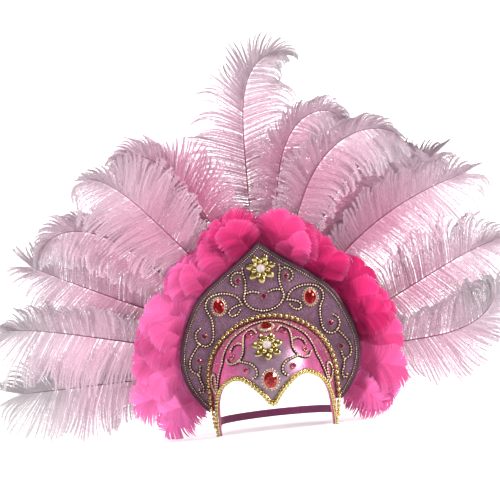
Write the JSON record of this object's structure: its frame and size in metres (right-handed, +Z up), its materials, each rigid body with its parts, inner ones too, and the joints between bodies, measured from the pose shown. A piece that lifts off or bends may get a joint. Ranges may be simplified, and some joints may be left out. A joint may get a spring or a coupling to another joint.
{
  "type": "feather headdress",
  "caption": "Carnival headdress: pink satin cap with widow's peak, pointed beaded crest panel, goose feather ruff and a fan of curled ostrich plumes.",
  "frame": {"origin": "top of the head hollow, where the headdress sits on the crown of a head", "axes": "+X across the fan, to the right of the front view; -Y the way the wearer looks; +Z up"},
  "size_m": [0.6971, 0.1988, 0.5268],
  "materials": {
    "satin": "glossy metallic satin",
    "glitter_cloth": "mauve glitter cloth",
    "ruff_feather": "dyed goose feather",
    "plume_feather": "dyed ostrich feather with pale tips",
    "gold": "gold-plated, lightly aged",
    "ball_chain": "rose-gold ball chain",
    "pearl": "pearl lacquer",
    "red_stone": "foiled red glass in a gold bead border",
    "fuchsia_stone": "foiled fuchsia glass",
    "elastic": "woven elastic"
  },
  "bodies": {
    "root": {"cap_shell": "satin", "crest_panel": "glitter_cloth", "ruff_left": "ruff_feather", "ruff_right": "ruff_feather", "plume_centre": "plume_feather", "plume_left_1": "plume_feather", "plume_left_2": "plume_feather", "plume_left_3": "plume_feather", "plume_left_4": "plume_feather", "plume_left_5": "plume_feather", "plume_left_6": "plume_feather", "plume_right_1": "plume_feather", "plume_right_2": "plume_feather", "plume_right_3": "plume_feather", "plume_right_4": "plume_feather", "plume_right_5": "plume_feather", "plume_right_6": "plume_feather", "plume_right_7": "plume_feather", "arc_trim": "gold", "hem_trim": "gold", "flower_cap": "gold", "flower_panel": "gold", "cap_arc_chain": "ball_chain", "cap_scroll_left": "ball_chain", "cap_scroll_right": "ball_chain", "panel_edge_chain": "ball_chain", "panel_heart_chain": "ball_chain", "panel_scroll_left": "ball_chain", "panel_scroll_right": "ball_chain", "pearl_cap": "pearl", "pearl_panel": "pearl", "oval_stone_cap_low": "red_stone", "oval_stone_cap_top": "red_stone", "oval_stone_panel_left": "red_stone", "oval_stone_panel_right": "red_stone", "round_stone_panel_0_centre": "fuchsia_stone", "round_stone_panel_1_left": "fuchsia_stone", "round_stone_panel_1_right": "fuchsia_stone", "round_stone_panel_2_left": "fuchsia_stone", "round_stone_panel_2_right": "fuchsia_stone", "round_stone_panel_3_left": "fuchsia_stone", "round_stone_panel_3_right": "fuchsia_stone", "round_stone_cap_0_left": "fuchsia_stone", "round_stone_cap_0_right": "fuchsia_stone", "round_stone_cap_1_left": "fuchsia_stone", "round_stone_cap_1_right": "fuchsia_stone", "round_stone_cap_2_left": "fuchsia_stone", "round_stone_cap_2_right": "fuchsia_stone", "head_elastic": "elastic"}
  },
  "joints": []
}
